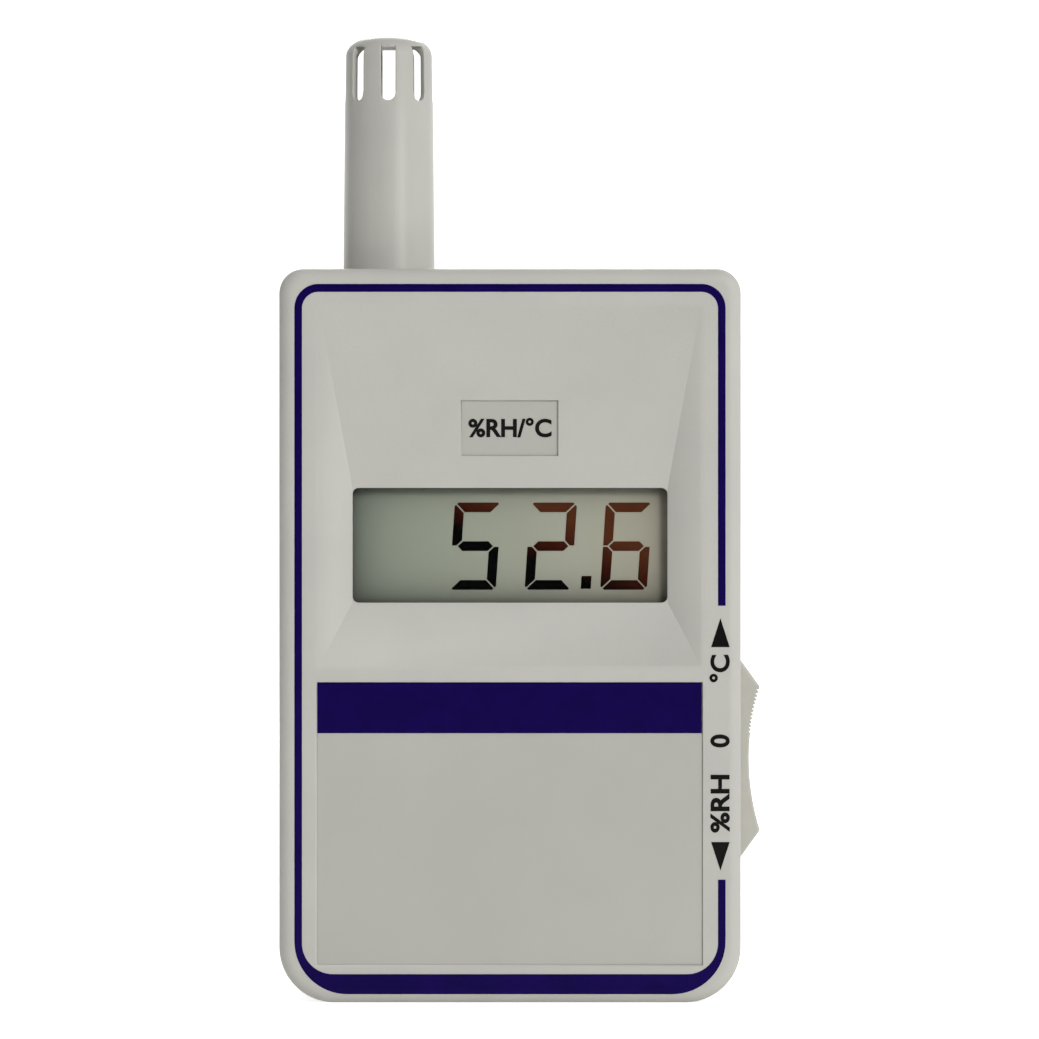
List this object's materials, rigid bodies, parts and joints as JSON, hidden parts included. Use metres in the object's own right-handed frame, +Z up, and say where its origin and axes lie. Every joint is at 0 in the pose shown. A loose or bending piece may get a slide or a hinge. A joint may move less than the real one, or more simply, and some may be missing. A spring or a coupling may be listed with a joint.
{
  "type": "handheld hygrometer",
  "caption": "Handheld hygrometer with a sunken display, a slotted sensor tube on top, a slide switch at the side and a tilting battery cover.",
  "frame": {"origin": "middle of the housing's flat lower end, on the parting plane of the two shells", "axes": "+Z up the housing to the sensor tube, -Y out of the display, +X to the side with the slide switch"},
  "size_m": [0.07, 0.03, 0.1412],
  "materials": {
    "shell_plastic": "fine spark-eroded texture",
    "knob_plastic": "satin",
    "clear_pane": "clear",
    "lcd_glass": "clear",
    "reflector_foil": "matt",
    "tinned_metal": "tinned",
    "label_foil": "fine texture",
    "circuit_board": "solder mask",
    "chip_resin": "matt",
    "capacitor_red": "gloss",
    "capacitor_sleeve": "gloss",
    "resistor_lacquer": "gloss",
    "trimmer_blue": "satin",
    "brass": "bright",
    "switch_laminate": "matt",
    "sensor_white": "matt",
    "sensor_foil": "satin",
    "battery_jacket": "lacquered",
    "clip_plastic": "satin",
    "lead_red": "satin",
    "lead_black": "satin"
  },
  "bodies": {
    "housing": {"front_shell": "shell_plastic", "rear_shell": "shell_plastic", "sensor_tube": "shell_plastic", "housing_screws": "tinned_metal", "display_window": "clear_pane", "lcd_front_glass": "lcd_glass", "lcd_rear_glass": "lcd_glass", "lcd_reflector": "reflector_foil", "lcd_pins": "tinned_metal", "front_label": "label_foil", "unit_label": "label_foil", "main_board": "circuit_board", "board_screws": "tinned_metal", "converter_chip": "chip_resin", "converter_pins": "tinned_metal", "amplifier_chips": "chip_resin", "amplifier_pins": "tinned_metal", "film_capacitors": "capacitor_red", "electrolytic_capacitors": "capacitor_sleeve", "voltage_regulator": "chip_resin", "resistors": "resistor_lacquer", "resistor_leads": "tinned_metal", "trimmers": "trimmer_blue", "trimmer_screws": "brass", "switch_case": "tinned_metal", "switch_base": "switch_laminate", "switch_pins": "tinned_metal", "sensor_board": "circuit_board", "sensor_header": "chip_resin", "sensor_header_pins": "tinned_metal", "humidity_sensor": "sensor_white", "humidity_foil": "sensor_foil", "temperature_sensor": "sensor_white", "sensor_leads": "tinned_metal", "battery": "battery_jacket", "battery_terminals": "tinned_metal", "battery_clip": "clip_plastic", "clip_contacts": "tinned_metal", "positive_lead": "lead_red", "negative_lead": "lead_black"},
    "switch_slider": {"switch_knob": "knob_plastic", "switch_lever": "chip_resin"},
    "cover": {"battery_cover": "shell_plastic"}
  },
  "joints": [
    {"name": "switch_slide", "type": "slide", "parent": "housing", "child": "switch_slider", "axis": [0, 0, 1], "range_m": [0, 0.005]},
    {"name": "battery_cover_hinge", "type": "hinge", "parent": "housing", "child": "cover", "pos_m": [0, 0.015, 0.0045], "axis": [-1, 0, 0], "range_deg": [0, 60]}
  ]
}
